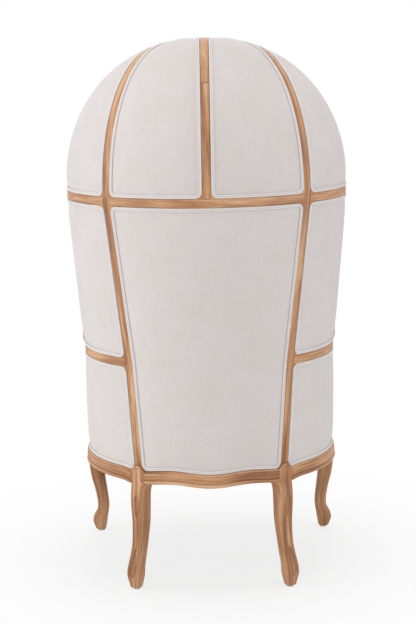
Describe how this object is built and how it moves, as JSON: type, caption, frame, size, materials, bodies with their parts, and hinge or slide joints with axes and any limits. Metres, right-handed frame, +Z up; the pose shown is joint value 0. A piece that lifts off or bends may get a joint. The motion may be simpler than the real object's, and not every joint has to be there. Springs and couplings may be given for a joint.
{
  "type": "hall porter chair",
  "caption": "Dome-hooded barrel armchair with an oak show frame, linen panels edged with double cord, and a loose seat cushion.",
  "frame": {"origin": "middle of the footprint, on the floor", "axes": "+Z up, the sitter faces -Y, the sitter's left is +X"},
  "size_m": [0.785, 0.7395, 1.4945],
  "materials": {
    "oak": "dry limed, open grain",
    "block_wood": "rough sawn",
    "outside_linen": "plain woven linen",
    "inside_linen": "plain woven linen, padded",
    "cushion_linen": "plain woven linen, piped",
    "double_cord": "linen-covered double cord",
    "webbing": "jute",
    "dust_cloth": "black cambric",
    "glide": "pale nylon",
    "screw_steel": "zinc plated"
  },
  "bodies": {
    "chair": {"arm_left": "oak", "arm_pad_left": "inside_linen", "arm_pad_right": "inside_linen", "arm_rail_left": "oak", "arm_rail_right": "oak", "arm_right": "oak", "arm_support_left": "oak", "arm_support_right": "oak", "band_back": "oak", "band_side_left": "oak", "band_side_right": "oak", "cord_back": "double_cord", "cord_hood_rear_left": "double_cord", "cord_hood_rear_right": "double_cord", "cord_hood_side_left": "double_cord", "cord_hood_side_right": "double_cord", "cord_side_lower_left": "double_cord", "cord_side_lower_right": "double_cord", "cord_side_upper_left": "double_cord", "cord_side_upper_right": "double_cord", "corner_blocks": "block_wood", "corner_screws": "screw_steel", "dust_cover": "dust_cloth", "foot_glides": "glide", "hood_arch_left": "oak", "hood_arch_right": "oak", "leg_front_left": "oak", "leg_front_right": "oak", "leg_rear_left": "oak", "leg_rear_right": "oak", "lining_back": "inside_linen", "lining_hood_left": "inside_linen", "lining_hood_right": "inside_linen", "lining_side_left": "inside_linen", "lining_side_right": "inside_linen", "panel_back": "outside_linen", "panel_hood_rear_left": "outside_linen", "panel_hood_rear_right": "outside_linen", "panel_hood_side_left": "outside_linen", "panel_hood_side_right": "outside_linen", "panel_side_lower_left": "outside_linen", "panel_side_lower_right": "outside_linen", "panel_side_upper_left": "outside_linen", "panel_side_upper_right": "outside_linen", "rail_back": "oak", "rail_front": "oak", "rail_side_left": "oak", "rail_side_right": "oak", "rib_centre_lower": "oak", "rib_centre_upper": "oak", "rib_left": "oak", "rib_right": "oak", "seat_deck": "inside_linen", "seat_webbing": "webbing", "stile_rear_left": "oak", "stile_rear_right": "oak", "wing_stile_left": "oak", "wing_stile_right": "oak"},
    "cushion": {"seat_cushion": "cushion_linen", "cushion_piping": "cushion_linen"}
  },
  "joints": [
    {"name": "cushion_slide", "type": "slide", "parent": "chair", "child": "cushion", "axis": [0, -1, 0], "range_m": [0, 0.62]}
  ]
}
